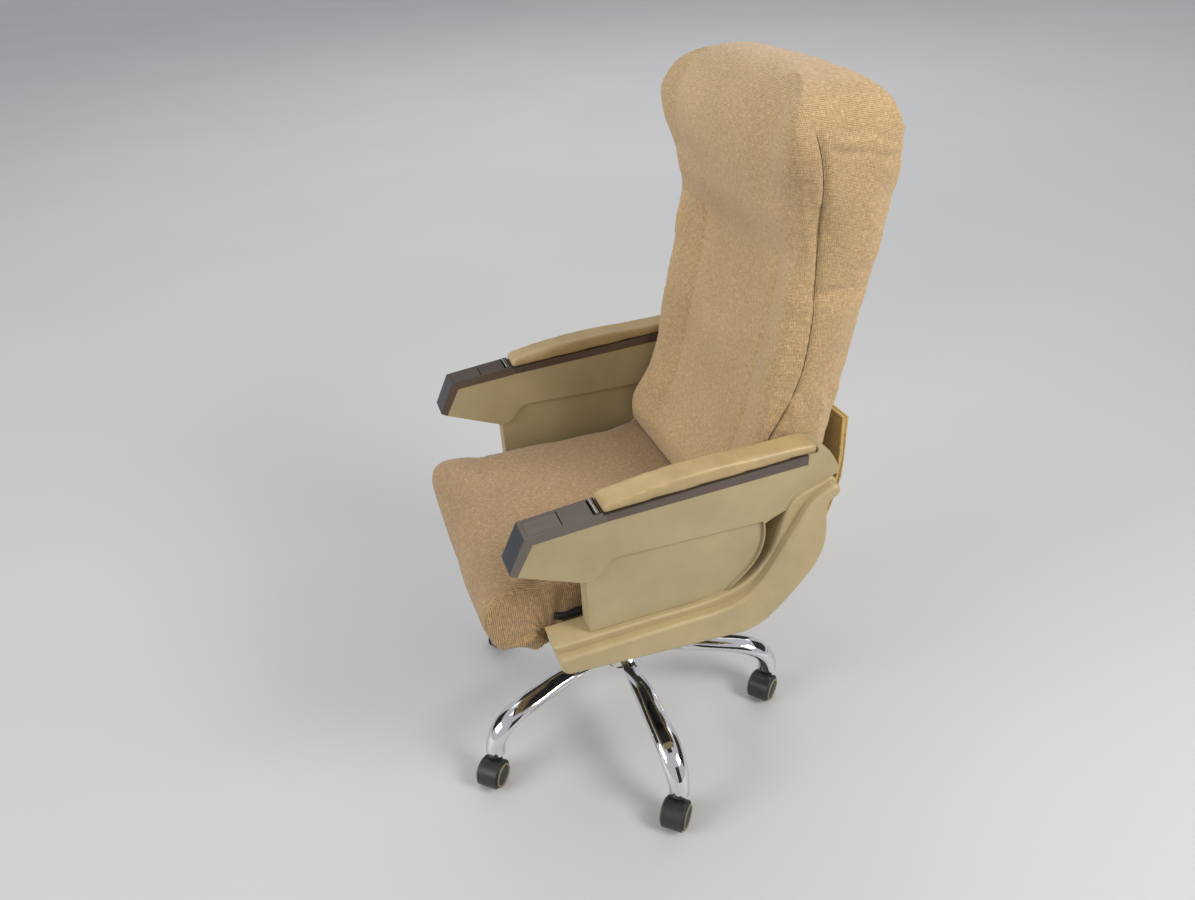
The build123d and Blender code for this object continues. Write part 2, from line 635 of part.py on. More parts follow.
with BuildPart() as panel:
    extrude(panel_outline(), amount=ARM_W)
    for face_x, depth in ((ARM_OUT, -RECESS), (ARM_IN, RECESS)):
        extrude(field_outline(face_x), amount=depth, mode=Mode.SUBTRACT)
    # the hollow of the moulding, open below where the pod closes it
    with BuildSketch(Plane.XY.offset(FIELD_BOTTOM_Z - 1)):
        with Locations(((ARM_IN + ARM_OUT) / 2, -35)):
            RectangleRounded(ARM_W - 2 * RECESS - 8, 160, 5)
    extrude(amount=112, mode=Mode.SUBTRACT)
    # the lower half of the ashtray's pocket
    with BuildSketch(Plane.YZ.offset(ARM_IN + LID_INSET + 3)):
        with Locations(((LID_FRONT_Y + LID_HINGE_Y) / 2, POCKET_FLOOR)):
            Rectangle(POCKET_L, 60, align=(Align.CENTER, Align.MIN))
    extrude(amount=ARM_W - 2 * LID_INSET - 6, mode=Mode.SUBTRACT)
save_pair(panel.part, "arm_panel")

# The pod: a moulded fairing that carries the panel and steps out twice below it.
def pod_step(upper_edge, tip, inset):
    """Side view of one step: its upper edge as points, its rear tip, and how far its lower edge is inset."""
    front_y, low_z = -186 + inset, 385 + inset
    with BuildSketch(Plane.YZ.offset(ARM_IN)) as outline:
        with BuildLine():
            Line((front_y, 424), upper_edge[0])
            Line(upper_edge[0], upper_edge[1])
            Spline(*upper_edge[1:], tangents=((1, 0.03), (1, 0.45)))
            rear_tip = TangentArc(upper_edge[-1], tip, tangent=(1, 0.45))
            Spline(
                tip,
                (253 - inset, 545),
                (206 - inset, 445),
                (166 - inset, 406),
                (117, low_z),
                tangents=(rear_tip % 1, (-1, -0.16)),
            )
            Line((117, low_z), (-168, low_z + 21))
            ThreePointArc((-168, low_z + 21), (front_y + 5, low_z + 26), (front_y, 424))
        make_face()
    return outline.sketch


UPPER_STEP = [(-192, 455), (-60, 457), (60, 459), (120, 474), (170, 530), (200, 610), (255, 634)]
LOWER_STEP = [(-186, 441), (7, 445), (87, 448), (120, 459), (151, 489), (177, 532), (203, 576), (255, 628)]

with BuildPart() as pod_skirt:
    extrude(pod_step(LOWER_STEP, (262, 608), 0), amount=ARM_W + STEP_B)
    fillet(pod_skirt.faces().sort_by(Axis.X)[-1].edges(), 6)

with BuildPart() as pod:
    extrude(pod_step(UPPER_STEP, (260, 612), 2), amount=ARM_W + STEP_A)
    fillet(pod.faces().sort_by(Axis.X)[-1].edges(), 4)
    add(pod_skirt.part)
    extrude(panel_outline(), amount=ARM_W, mode=Mode.SUBTRACT)
    with BuildSketch(Plane.YZ.offset(ARM_IN)):
        with Locations((RECLINE_Y, RECLINE_Z)):
            Circle(PIN_R + RUN)
    extrude(amount=21, mode=Mode.SUBTRACT)
save_pair(pod.part, "arm_pod")

# ---------------------------------------------------------------- recline strut, on the sitter's right
STRUT_Z = RECLINE_Z - RECLINE_ARM
STRUT_FRONT, STRUT_REAR = -50.0, 118.0
with BuildPart() as strut:
    with BuildSketch(Plane(origin=(STRUT_X, STRUT_FRONT, STRUT_Z), z_dir=(0, 1, 0))):
        Circle(STRUT_R)
    extrude(amount=STRUT_REAR - STRUT_FRONT)
    with BuildSketch(Plane.XY.offset(STRUT_Z)):
        with Locations((STRUT_X, CROSS_Y[1])):
            Rectangle(30, 16)
    extrude(amount=CROSS_Z - STRUT_Z)
    with BuildSketch(Plane(origin=(STRUT_X, STRUT_FRONT + 5, STRUT_Z), z_dir=(0, 1, 0))):
        Circle(STRUT_R - 3)
    extrude(amount=STRUT_REAR - STRUT_FRONT - 10, mode=Mode.SUBTRACT)
    with BuildSketch(Plane(origin=(STRUT_X, STRUT_REAR - 10, STRUT_Z), z_dir=(0, 1, 0))):
        Circle(STRUT_ROD_R + RUN)
    extrude(amount=20, mode=Mode.SUBTRACT)
save(strut.part, "recline_strut")

LUG_T = 6.0
EYE_PIN_R = 4.0
with BuildPart() as strut_rod:
    with BuildSketch(Plane(origin=(STRUT_X, 60, STRUT_Z), z_dir=(0, 1, 0))):
        Circle(STRUT_ROD_R)
    extrude(amount=RECLINE_Y - 60 - 6)
    with BuildSketch(Plane(origin=(STRUT_X, 60, STRUT_Z), z_dir=(0, 1, 0))):
        Circle(STRUT_R - 3 - RUN)
    extrude(amount=12)
    # flat eye beside the lug, and the pin that passes through the lug's slot
    with BuildSketch(Plane.YZ.offset(STRUT_X + 3)):
        with Locations((RECLINE_Y, STRUT_Z)):
            Circle(9)
        with Locations((RECLINE_Y - 12, STRUT_Z)):
            Rectangle(24, 12)
    extrude(amount=-6)
    with BuildSketch(Plane.YZ.offset(STRUT_X - 3)):
        with Locations((RECLINE_Y, STRUT_Z)):
            Circle(EYE_PIN_R)
    extrude(amount=-12)
save(strut_rod.part, "recline_strut_rod")

# ---------------------------------------------------------------- back
# The back's own plane: X across, Y up along the rear face, Z forward into the cushion.
back_plane = Plane(
    origin=BACK_FOOT,
    x_dir=(1, 0, 0),
    z_dir=(0, -cos(radians(LEAN)), sin(radians(LEAN))),
)
SHELL_HALF, SHELL_TOP, SHELL_T = 186.0, 545.0, 4.0
FRAME_HALF, FRAME_TOP, BAR_SIDE, FRAME_T = 175.0, 520.0, 26.0, 12.0
POCKET_DEPTH = SHELL_T + FRAME_T + 1.5

with BuildPart() as back_cushion:
    with BuildSketch(Plane.YZ):
        with BuildLine():
            Spline(
                (130, 512),
                (118, 545),
                (150, 630),
                (182, 755),
                (214, 905),
                (217, 975),
                (201, 1065),
                (199, 1130),
                (225, 1180),
                (280, 1202),
                (334, 1180),
                (364, 1125),
                (374, 1050),
            )
            Polyline((374, 1050), (266, 505), (130, 512))
        make_face()
    extrude(amount=BACK_HALF, both=True)
    # seen from the front, the top is crowned and falls away to two rounded corners
    with BuildSketch(Plane.XZ.offset(-BACK_REAR)):
        with BuildLine():
            Polyline(
                (BACK_HALF, CROWN[0][1]),
                (BACK_HALF, BACK_BASE),
                (-BACK_HALF, BACK_BASE),
                (-BACK_HALF, CROWN[0][1]),
            )
            Spline(*[(-x, z) for x, z in CROWN[:-1]], *reversed(CROWN))
        make_face()
    extrude(amount=BACK_REAR, mode=Mode.INTERSECT)
    with BuildSketch(back_plane.offset(-20)):
        with Locations((0, -20)):
            RectangleRounded(2 * SHELL_HALF + 2, SHELL_TOP + 41, 24, align=(Align.CENTER, Align.MIN))
    extrude(amount=POCKET_DEPTH + 20, mode=Mode.SUBTRACT)
save(back_cushion.part, "back_cushion")

with BuildPart() as back_shell:
    with BuildSketch(back_plane):
        RectangleRounded(2 * SHELL_HALF, SHELL_TOP, 24, align=(Align.CENTER, Align.MIN))
    extrude(amount=SHELL_T)
save(back_shell.part, "back_shell")

# Welded frame: hoop behind the cushion, foot tube, pivot ears with their pins, and the strut's lug.
FOOT_Y, FOOT_Z, FOOT_R = 252.0, 484.0, 12.0
EAR_IN, EAR_PLATE_T = 205.0, 6.0
with BuildPart() as back_frame:
    with BuildSketch(back_plane.offset(SHELL_T + GAP)):
        RectangleRounded(2 * FRAME_HALF, FRAME_TOP, 40, align=(Align.CENTER, Align.MIN))
        with Locations((0, BAR_SIDE)):
            RectangleRounded(
                2 * (FRAME_HALF - BAR_SIDE), FRAME_TOP - 2 * BAR_SIDE, 20,
                align=(Align.CENTER, Align.MIN), mode=Mode.SUBTRACT,
            )
    extrude(amount=FRAME_T)
    # thin diaphragm that closes the hoop
    with BuildSketch(back_plane.offset(SHELL_T + GAP)):
        RectangleRounded(2 * FRAME_HALF - 2, FRAME_TOP - 2, 40, align=(Align.CENTER, Align.MIN))
    extrude(amount=2)
    with BuildSketch(Plane.YZ):
        with Locations((FOOT_Y, FOOT_Z)):
            Circle(FOOT_R)
    extrude(amount=EAR_IN, both=True)
    with BuildSketch(Plane.YZ.offset(-FRAME_HALF + 10)):
        with BuildLine():
            Polyline((FOOT_Y - 1, FOOT_Z), (FOOT_Y + 6, FOOT_Z), (263, 520), (253, 520), close=True)
        make_face()
    extrude(amount=2 * FRAME_HALF - 20)
    for side in (1, -1):
        with BuildSketch(Plane.YZ.offset(side * EAR_IN)):
            with BuildLine():
                Polyline(
                    (FOOT_Y + 6, FOOT_Z - 14),
                    (FOOT_Y + 6, FOOT_Z + 14),
                    (RECLINE_Y, RECLINE_Z + 14),
                    (RECLINE_Y, RECLINE_Z - 14),
                    close=True,
                )
            make_face()
            with Locations((RECLINE_Y, RECLINE_Z)):
                Circle(14)
        extrude(amount=side * EAR_PLATE_T)
        with BuildSketch(Plane.YZ.offset(side * EAR_IN)):
            with Locations((RECLINE_Y, RECLINE_Z)):
                Circle(PIN_R)
        extrude(amount=side * (ARM_IN + 20 - EAR_IN))
    # lug for the strut, with a slot that lets its pin ride as the lug swings
    with BuildSketch(Plane.YZ.offset(STRUT_X - 4)):
        with BuildLine():
            Polyline(
                (FOOT_Y - 8, FOOT_Z + 6),
                (FOOT_Y + 8, FOOT_Z - 6),
                (RECLINE_Y + 12, STRUT_Z - 16),
                (RECLINE_Y - 12, STRUT_Z - 16),
                (RECLINE_Y - 12, STRUT_Z + 8),
                close=True,
            )
        make_face()
        with Locations((RECLINE_Y, STRUT_Z - 1)):
            SlotOverall(15, 2 * (EYE_PIN_R + GAP), rotation=90, mode=Mode.SUBTRACT)
    extrude(amount=-LUG_T)
save(back_frame.part, "back_frame")

SKIRT_HALF, SKIRT_T = 205.0, 7.0
with BuildPart() as skirt:
    with BuildSketch(Plane.YZ):
        with BuildLine():
            skirt_line = FilletPolyline((268, 470), (296, 494), (322, 580), (322, 690), radius=(14, 60))
        trace(skirt_line, SKIRT_T)
    extrude(amount=SKIRT_HALF, both=True)
save(skirt.part, "rear_skirt")
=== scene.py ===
import json
import math

import bmesh
import bpy
import numpy as np
from mathutils import Matrix, Vector, noise


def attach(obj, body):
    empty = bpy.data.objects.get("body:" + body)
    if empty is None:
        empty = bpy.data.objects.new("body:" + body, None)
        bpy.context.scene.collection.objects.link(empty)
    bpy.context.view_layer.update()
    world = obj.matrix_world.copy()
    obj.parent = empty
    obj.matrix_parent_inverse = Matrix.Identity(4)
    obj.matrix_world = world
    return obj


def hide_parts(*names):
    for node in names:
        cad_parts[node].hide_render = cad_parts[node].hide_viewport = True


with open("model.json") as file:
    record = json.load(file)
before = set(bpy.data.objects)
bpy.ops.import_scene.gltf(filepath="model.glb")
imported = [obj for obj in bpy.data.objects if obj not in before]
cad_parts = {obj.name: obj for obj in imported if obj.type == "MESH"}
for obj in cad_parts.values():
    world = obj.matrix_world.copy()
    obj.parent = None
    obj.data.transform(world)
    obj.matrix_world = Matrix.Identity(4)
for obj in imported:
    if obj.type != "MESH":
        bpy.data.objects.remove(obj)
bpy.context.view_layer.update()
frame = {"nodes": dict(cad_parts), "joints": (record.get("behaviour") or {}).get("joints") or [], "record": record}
NODES = frame["nodes"]
SCENE = bpy.context.scene


WEAVE_MAP = "weave"


# ---------------------------------------------------------------- material graphs
class Graph:
    """A node material built up from procedural textures in the object's own coordinates."""

    def __init__(self, name, roughness=0.5, metallic=0.0, **sockets):
        self.material = bpy.data.materials.new(name)
        self.material.use_nodes = True
        self.tree = self.material.node_tree
        self.shader = self.tree.nodes["Principled BSDF"]
        self.shader.inputs["Roughness"].default_value = roughness
        self.shader.inputs["Metallic"].default_value = metallic
        for socket, value in sockets.items():
            self.shader.inputs[socket.replace("_", " ")].default_value = value
        self.coordinates = self.tree.nodes.new("ShaderNodeTexCoord").outputs["Object"]

    def node(self, kind, values=None, **links):
        made = self.tree.nodes.new(kind)
        for key, value in (values or {}).items():
            if key in made.inputs:
                made.inputs[key].default_value = value
            else:
                setattr(made, key, value)
        for key, source in links.items():
            self.tree.links.new(source, made.inputs[key])
        return made

    def math(self, operation, a, b=0.5):
        made = self.node("ShaderNodeMath", {"operation": operation})
        for socket, value in zip(made.inputs, (a, b)):
            if isinstance(value, (int, float)):
                socket.default_value = value
            else:
                self.tree.links.new(value, socket)
        return made.outputs[0]

    def stretched(self, scale):
        mapping = self.node("ShaderNodeMapping", {"Scale": scale}, Vector=self.coordinates)
        return mapping.outputs["Vector"]

    def noise(self, scale, detail=4.0, rough=0.55, stretch=(1, 1, 1)):
        made = self.node(
            "ShaderNodeTexNoise", {"Scale": scale, "Detail": detail, "Roughness": rough}, Vector=self.stretched(stretch)
        )
        return made.outputs["Fac"]

    def ramp(self, factor, *stops):
        """A colour ramp; each stop is (position, colour)."""
        made = self.node("ShaderNodeValToRGB", Fac=factor)
        elements = made.color_ramp.elements
        while len(elements) < len(stops):
            elements.new(0.5)
        for element, (position, colour) in zip(elements, stops):
            element.position = position
            element.color = (*colour, 1)
        return made.outputs["Color"]

    def mix(self, factor, a, b, blend="MIX"):
        made = self.tree.nodes.new("ShaderNodeMix")
        made.data_type = "RGBA"
        made.blend_type = blend
        for socket, value in ((made.inputs[0], factor), (made.inputs[6], a), (made.inputs[7], b)):
            if isinstance(value, (int, float)):
                socket.default_value = value
            elif isinstance(value, tuple):
                socket.default_value = (*value, 1)
            else:
                self.tree.links.new(value, socket)
        return made.outputs[2]

    def colour(self, source):
        self.tree.links.new(source, self.shader.inputs["Base Color"])

    def rough(self, factor, low, high):
        made = self.node("ShaderNodeMapRange", {"To Min": low, "To Max": high}, Value=factor)
        self.tree.links.new(made.outputs["Result"], self.shader.inputs["Roughness"])

    def bump(self, *layers):
        """Stacks bump layers; each is (height, strength, distance in metres)."""
        normal = None
        for height, strength, distance in layers:
            made = self.node("ShaderNodeBump", {"Strength": strength, "Distance": distance}, Height=height)
            if normal is not None:
                self.tree.links.new(normal, made.inputs["Normal"])
            normal = made.outputs["Normal"]
        self.tree.links.new(normal, self.shader.inputs["Normal"])


def shades(colour, low, high):
    return tuple(c * low for c in colour), tuple(c * high for c in colour)


def woven(name, colour, warp_pitch, weft_pitch, rib, depth, slub_length):
    """Cloth of crossing yarns, laid out on the piece's weave map in metres; rib is the weight of the warp."""
    g = Graph(name, roughness=0.92, Sheen_Weight=0.2, Sheen_Roughness=0.6)
    g.coordinates = g.node("ShaderNodeUVMap", {"uv_map": WEAVE_MAP}).outputs["UV"]
    wander = g.node("ShaderNodeTexNoise", {"Scale": 90.0, "Detail": 2.0}, Vector=g.coordinates).outputs["Color"]
    drift = g.node("ShaderNodeVectorMath", {"operation": "SCALE", "Scale": 0.0016}, Vector=wander).outputs["Vector"]
    bent = g.node("ShaderNodeVectorMath", {"operation": "ADD"}, Vector=g.coordinates)
    g.tree.links.new(drift, bent.inputs[1])
    yarns = [
        g.node(
            "ShaderNodeTexWave", {"bands_direction": direction, "Scale": 0.314 / pitch},
            Vector=bent.outputs["Vector"],
        ).outputs["Fac"]
        for direction, pitch in (("X", warp_pitch), ("Y", weft_pitch))
    ]
    cloth = g.math("ADD", g.math("MULTIPLY", yarns[0], rib), g.math("MULTIPLY", yarns[1], 1 - rib))
    along, across = 1 / slub_length, 1 / warp_pitch
    warp_slubs = g.noise(1.0, 3, 0.7, (across * 0.8, along, 1))
    weft_slubs = g.noise(1.0, 3, 0.7, (along, across * 0.8, 1))
    slubs = g.math("ADD", g.math("MULTIPLY", warp_slubs, 0.35 + 0.4 * rib), g.math("MULTIPLY", weft_slubs, 0.65 - 0.4 * rib))
    fuzz = g.noise(700, 3, 0.7)
    blotches = g.noise(6, 4, 0.6)
    dark, light = shades(colour, 0.53, 1.31)
    base = g.ramp(g.math("ADD", g.math("MULTIPLY", cloth, 0.3), g.math("MULTIPLY", slubs, 0.7)), (0.36, dark), (0.63, light))
    pale = tuple(min(1.0, c * 1.3 + 0.07) for c in colour)
    slub_mask = g.node("ShaderNodeMapRange", {"From Min": 0.54, "From Max": 0.66, "To Max": 0.7}, Value=slubs)
    base = g.mix(slub_mask.outputs[0], base, pale)
    base = g.mix(g.math("MULTIPLY", fuzz, 0.15), base, colour)
    base = g.mix(1.0, base, g.ramp(blotches, (0.3, (0.88, 0.86, 0.83)), (0.7, (1.06, 1.05, 1.03))), "MULTIPLY")
    g.colour(base)
    g.bump((cloth, 0.6, depth), (slubs, 0.9, 1.6 * depth), (fuzz, 0.3, depth))
    return g.material


def moulded(name, colour, roughness, wear):
    """Old cream plastic: mottled, faintly scuffed, with a fine grain."""
    g = Graph(name, roughness=roughness)
    mottle = g.noise(9, 5, 0.6)
    grain = g.noise(700, 2)
    scuffs = g.noise(38, 8, 0.75, (1, 0.25, 1.6))
    low, high = shades(colour, 0.88, 1.08)
    base = g.ramp(mottle, (0.3, low), (0.7, high))
    mark = g.node("ShaderNodeMapRange", {"From Min": 0.62, "From Max": 0.75, "To Max": wear}, Value=scuffs).outputs[0]
    g.colour(g.mix(mark, base, tuple(c * 0.5 for c in colour)))
    g.rough(g.math("ADD", g.math("MULTIPLY", mottle, 0.5), g.math("MULTIPLY", scuffs, 0.5)), roughness - 0.1, roughness + 0.15)
    g.bump((grain, 0.12, 0.0004), (g.noise(28, 3), 0.15, 0.001))
    return g.material


def metal(name, colour, roughness, streak, spread=0.12, bump=0.05, metallic=1.0):
    """Brushed, painted or polished metal; streak stretches the grain."""
    g = Graph(name, roughness=roughness, metallic=metallic)
    grain = g.noise(260, 4, 0.6, streak)
    cloud = g.noise(14, 4)
    low, high = shades(colour, 0.86, 1.1)
    g.colour(g.mix(0.5, g.ramp(grain, (0.3, low), (0.7, high)), g.ramp(cloud, (0.3, low), (0.7, high))))
    g.rough(g.math("ADD", g.math("MULTIPLY", grain, 0.6), g.math("MULTIPLY", cloud, 0.4)),
            max(0.01, roughness - spread / 2), roughness + spread / 2)
    g.bump((grain, bump, 0.0003))
    return g.material


def vinyl(name, colour):
    g = Graph(name, roughness=0.42, Coat_Weight=0.12, Coat_Roughness=0.35)
    cells = g.node("ShaderNodeTexVoronoi", {"Scale": 900.0, "feature": "DISTANCE_TO_EDGE"}, Vector=g.coordinates).outputs[0]
    cloud = g.noise(16, 5, 0.6)
    stains = g.noise(45, 6, 0.7, (1, 0.4, 1))
    low, high = shades(colour, 0.84, 1.1)
    base = g.ramp(cloud, (0.3, low), (0.7, high))
    mark = g.node("ShaderNodeMapRange", {"From Min": 0.6, "From Max": 0.8, "To Max": 0.35}, Value=stains).outputs[0]
    g.colour(g.mix(mark, base, tuple(c * 0.62 for c in colour)))
    g.rough(stains, 0.32, 0.55)
    g.bump((cells, 0.12, 0.0004), (cloud, 0.12, 0.0015))
    return g.material


def dark_plastic(name, colour, roughness):
    g = Graph(name, roughness=roughness)
    dust = g.noise(55, 6, 0.7)
    low, high = shades(colour, 0.8, 1.5)
    g.colour(g.ramp(dust, (0.35, low), (0.75, high)))
    g.rough(g.noise(30, 4), roughness - 0.1, roughness + 0.15)
    g.bump((g.noise(800, 2), 0.15, 0.0003))
    return g.material


BACK_TAN = (0.49, 0.335, 0.165)
SEAT_TAN = (0.37, 0.235, 0.105)
SKIRT_TAN = (0.56, 0.385, 0.130)
CREAM = (0.40, 0.325, 0.180)
MATERIALS = {
    "back_fabric": woven("linen_weave", BACK_TAN, 0.0021, 0.0020, 0.42, 0.0008, 0.008),
    "seat_fabric": woven("ribbed_boucle", SEAT_TAN, 0.0032, 0.0026, 0.72, 0.0012, 0.009),
    "skirt_fabric": woven("skirt_weave", SKIRT_TAN, 0.0021, 0.0020, 0.5, 0.0008, 0.008),
    "pad_vinyl": vinyl("armrest_vinyl", (0.43, 0.315, 0.15)),
    "panel_plastic": moulded("panel_moulding", CREAM, 0.55, 0.25),
    "pod_plastic": moulded("pod_moulding", (0.43, 0.34, 0.18), 0.42, 0.35),
    "nose_metal": metal("nose_brushed", (0.19, 0.16, 0.14), 0.34, (1, 0.06, 0.06), metallic=0.75),
    "lid_metal": metal("lid_brushed", (0.21, 0.175, 0.15), 0.36, (1, 0.06, 0.06), metallic=0.75),
    "bar_metal": metal("bar_satin", (0.62, 0.60, 0.56), 0.26, (0.06, 1, 1)),
    "strip_metal": metal("strip_satin", (0.14, 0.11, 0.095), 0.36, (1, 0.05, 1), metallic=0.6),
    "chrome": metal("chrome_plate", (0.80, 0.80, 0.81), 0.05, (1, 1, 1), 0.05, 0.01),
    "steel": metal("machined_steel", (0.55, 0.55, 0.56), 0.3, (1, 1, 0.1)),
    "black_metal": metal("black_powder_coat", (0.022, 0.022, 0.024), 0.5, (1, 1, 1), metallic=0.2, bump=0.2),
    "black_plastic": dark_plastic("black_moulding", (0.018, 0.018, 0.019), 0.42),
    "wheel_black": dark_plastic("wheel_tread", (0.022, 0.022, 0.024), 0.5),
}
RING_OLIVE = dark_plastic("ring_olive", (0.20, 0.165, 0.085), 0.5)
# painted shade: the dark colour of the cord laid along the back's side seams
SEAM_PAINTED_SHADE = dark_plastic("seam_shadow", (0.11, 0.07, 0.035), 0.9)
NOSE_FRONT = metal("nose_front_face", (0.035, 0.042, 0.055), 0.28, (1, 1, 0.06), metallic=0.7)
# painted highlight: pale metal for a thin cord standing for the light caught on the nose caps' front edges
NOSE_EDGE_HIGHLIGHT = metal("nose_painted_edge_highlight", (0.50, 0.49, 0.47), 0.3, (1, 1, 1))

SLOT_OF = {row["node"]: row["material_slot"] for row in frame["record"]["subparts"]}


def paint(obj, material):
    obj.data.materials.clear()
    obj.data.materials.append(material)


for node_name, node_object in NODES.items():
    paint(node_object, MATERIALS[SLOT_OF[node_name]])


# ---------------------------------------------------------------- mesh helpers
def smoothstep(low, high, value):
    t = np.clip((value - low) / (high - low), 0, 1)
    return t * t * (3 - 2 * t)


def coordinates(mesh):
    co = np.empty(len(mesh.vertices) * 3)
    mesh.vertices.foreach_get("co", co)
    return co.reshape(-1, 3)


def normals(mesh):
    n = np.empty(len(mesh.vertices) * 3, np.float32)
    mesh.vertex_normals.foreach_get("vector", n)
    return n.reshape(-1, 3).astype(float)


def put(mesh, co):
    mesh.vertices.foreach_set("co", co.ravel())
    mesh.update()


def link(obj):
    SCENE.collection.objects.link(obj)
    return obj


def bake(obj):
    """Applies every modifier on obj."""
    graph = bpy.context.evaluated_depsgraph_get()
    mesh = bpy.data.meshes.new_from_object(obj.evaluated_get(graph))
    obj.modifiers.clear()
    obj.data = mesh
    return obj


def cad_copy(node, name, voxel):
    """A welded, evenly meshed copy of a CAD node."""
    mesh = NODES[node].data.copy()
    work = bmesh.new()
    work.from_mesh(mesh)
    bmesh.ops.remove_doubles(work, verts=work.verts, dist=1e-5)
    work.to_mesh(mesh)
    work.free()
    obj = link(bpy.data.objects.new(name, mesh))
    remesh = obj.modifiers.new("remesh", "REMESH")
    remesh.mode = "VOXEL"
    remesh.voxel_size = voxel
    return bake(obj)


def relax(obj, rounds, factor=0.5):
    """Rounds the edges of an evenly meshed piece."""
    smooth = obj.modifiers.new("smooth", "SMOOTH")
    smooth.factor = factor
    smooth.iterations = rounds
    return bake(obj)


def inflate(obj, pressure, cap, fixed=None):
    """Swells obj as cloth under pressure. No point moves further than cap; where fixed is 1 it stays put."""
    start = coordinates(obj.data)
    cloth = obj.modifiers.new("cloth", "CLOTH")
    settings = cloth.settings
    settings.quality = 4
    settings.mass = 0.25
    settings.tension_stiffness = 12
    settings.compression_stiffness = 12
    settings.bending_stiffness = 0.6
    settings.use_pressure = True
    settings.uniform_pressure_force = pressure
    settings.effector_weights.gravity = 0
    for step in range(1, 21):
        SCENE.frame_set(step)
    bake(obj)
    SCENE.frame_set(1)
    moved = coordinates(obj.data) - start
    length = np.linalg.norm(moved, axis=1, keepdims=True) + 1e-12
    moved *= cap * np.tanh(length / cap) / length
    if fixed is not None:
        moved *= 1 - fixed[:, None]
    put(obj.data, start + moved)


def subdivide(obj):
    modifier = obj.modifiers.new("subdivide", "SUBSURF")
    modifier.levels = modifier.render_levels = 1
    return bake(obj)


def weave_map(obj):
    """Lays the weave flat on each side of a piece, in metres: across and up, or across and front to back."""
    mesh = obj.data
    layer = mesh.uv_layers.get(WEAVE_MAP) or mesh.uv_layers.new(name=WEAVE_MAP)
    loops = np.empty(len(mesh.loops), np.int32)
    mesh.loops.foreach_get("vertex_index", loops)
    facing = np.empty(len(mesh.polygons) * 3, np.float32)
    mesh.polygons.foreach_get("normal", facing)
    facing = np.abs(facing.reshape(-1, 3)) * (1.0, 1.05, 0.9)
    sizes = np.empty(len(mesh.polygons), np.int32)
    mesh.polygons.foreach_get("loop_total", sizes)
    axis = np.repeat(facing.argmax(axis=1), sizes)
    point = coordinates(mesh)[loops]
    flat = np.where((axis == 0)[:, None], point[:, [1, 2]], np.where((axis == 1)[:, None], point[:, [0, 2]], point[:, [0, 1]]))
    layer.data.foreach_set("uv", flat.astype(np.float32).ravel())


def shade_smooth(obj):
    obj.data.polygons.foreach_set("use_smooth", [True] * len(obj.data.polygons))
    obj.data.update()


def line_distance(points, line):
    """Distance of each 2-D point from a polyline, and how far along it the nearest spot is."""
    best = np.full(len(points), 1e9)
    along = np.zeros(len(points))
    travelled = 0.0
    for a, b in zip(line[:-1], line[1:]):
        a, b = np.array(a, float), np.array(b, float)
        edge = b - a
        length = np.linalg.norm(edge)
        t = np.clip(((points - a) @ edge) / length**2, 0, 1)
        d = np.linalg.norm(points - a - t[:, None] * edge, axis=1)
        nearer = d < best
        best = np.where(nearer, d, best)
        along = np.where(nearer, travelled + t * length, along)
        travelled += length
    return best, along


def smooth_line(points, count, rounds=60):
    """The polyline resampled evenly, with its corners worn round."""
    points = np.array(points, float)
    travelled = np.concatenate([[0], np.cumsum(np.linalg.norm(np.diff(points, axis=0), axis=1))])
    stops = np.linspace(0, travelled[-1], count)
    line = np.stack([np.interp(stops, travelled, column) for column in points.T], axis=1)
    for _ in range(rounds):
        line[1:-1] = (line[:-2] + 2 * line[1:-1] + line[2:]) / 4
    return line


def ripples(co, scale, seed):
    """Smooth noise from -1 to 1 at each point."""
    offset = Vector((seed, seed * 1.7, -seed))
    return np.array([noise.noise(Vector(p) * scale + offset) for p in co])


# ---------------------------------------------------------------- back cushion
MM = 0.001
SEAM_POINTS = [(0.217, 1.156), (0.232, 1.125), (0.238, 1.093), (0.244, 1.041), (0.247, 0.973), (0.248, 0.916),
               (0.242, 0.841), (0.230, 0.779), (0.218, 0.742), (0.196, 0.693), (0.165, 0.635), (0.143, 0.570), (0.136, 0.520)]
SEAM = smooth_line(SEAM_POINTS, 90)
LEAN = math.radians(11.2)
BACK_FOOT = np.array([0, 0.266, 0.505])
REAR_NORMAL = np.array([0, math.cos(LEAN), -math.sin(LEAN)])

back = cad_copy("back_cushion", "back_upholstery", 0.0065)
start = coordinates(back.data)
depth_in = -((start - BACK_FOOT) @ REAR_NORMAL)
pocket = (1 - smoothstep(0.018, 0.034, depth_in)) * (1 - smoothstep(0.190, 0.206, np.abs(start[:, 0])))
pocket *= 1 - smoothstep(1.050, 1.080, start[:, 2])
pocket = np.maximum(pocket, 1 - smoothstep(0.512, 0.540, start[:, 2]))
relax(back, 15, 0.6)
rounded = coordinates(back.data)
square = np.maximum(pocket, 0.35 * smoothstep(1.06, 1.13, start[:, 2]))
put(back.data, rounded + (start - rounded) * square[:, None])
lean_in = 0.004 - 0.004 * smoothstep(1.02, 1.14, start[:, 2])
put(back.data, coordinates(back.data) - normals(back.data) * (lean_in * (1 - pocket))[:, None])
inflate(back, 3.0, 0.010, pocket)
subdivide(back)

co = coordinates(back.data)
n = normals(back.data)
x, y, z = co.T
side = np.abs(x)
front = smoothstep(0.15, 0.6, -n[:, 1]) * smoothstep(0.512, 0.53, z)
